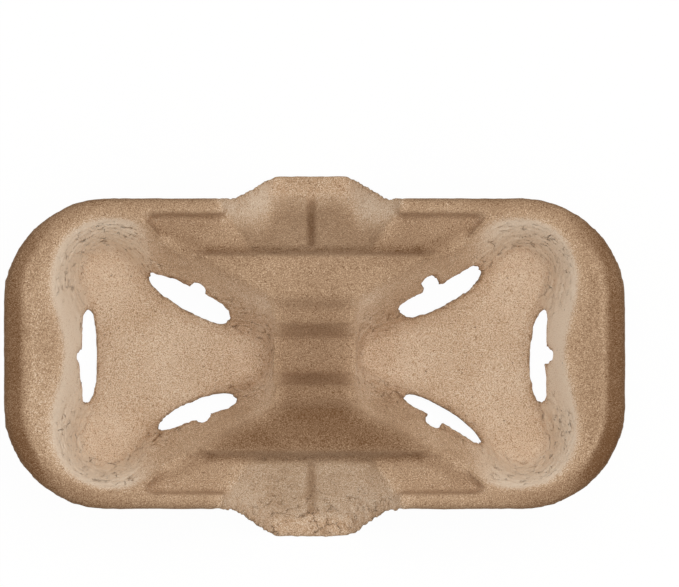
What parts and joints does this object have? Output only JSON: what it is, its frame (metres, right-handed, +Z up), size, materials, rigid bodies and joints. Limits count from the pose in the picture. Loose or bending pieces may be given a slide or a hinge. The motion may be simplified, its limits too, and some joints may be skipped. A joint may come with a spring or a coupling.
{
  "type": "cup carrier",
  "caption": "Two-cup carrier of moulded paper pulp: three-lobed wells with grip cut-outs, a rolled lip and a footed ear on each long side.",
  "frame": {"origin": "middle of the underside, on the plane that the cup floors and the ear feet stand on", "axes": "+X along the length, from one cup well to the other; +Y across, towards one ear; +Z up"},
  "size_m": [0.22, 0.1288, 0.045],
  "materials": {
    "moulded_pulp": "matt"
  },
  "bodies": {
    "root": {"carrier_tray": "moulded_pulp"}
  },
  "joints": []
}
